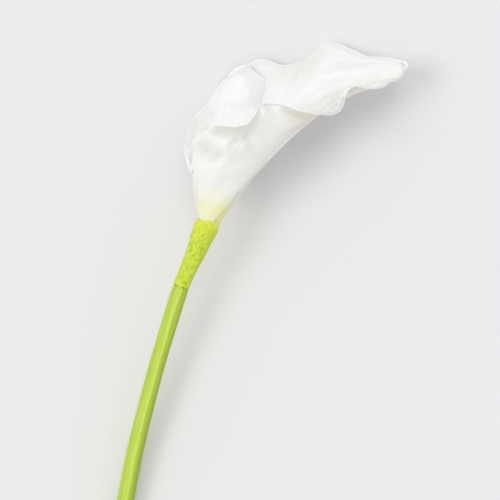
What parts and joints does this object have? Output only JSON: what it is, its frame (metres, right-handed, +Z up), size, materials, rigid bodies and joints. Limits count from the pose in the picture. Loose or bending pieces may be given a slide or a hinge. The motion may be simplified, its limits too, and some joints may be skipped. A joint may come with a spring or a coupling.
{
  "type": "calla lily flower",
  "caption": "Cut calla lily lying on its side: a white spathe rolled into a funnel around a yellow spadix, on a green stem with a yellow-green neck sleeve.",
  "frame": {"origin": "on the surface the flower lies on, under the middle of its bounding box", "axes": "+Z up from the surface; +Y from the cut end of the stem towards the flower; +X to the side the spathe's tip points to"},
  "size_m": [0.1912, 0.3543, 0.0882],
  "materials": {
    "spathe": "satin",
    "spadix": "matte",
    "neck_sleeve": "matte",
    "stem": "satin"
  },
  "bodies": {
    "root": {"spathe": "spathe", "spadix": "spadix", "neck_sleeve": "neck_sleeve", "stem": "stem"}
  },
  "joints": []
}
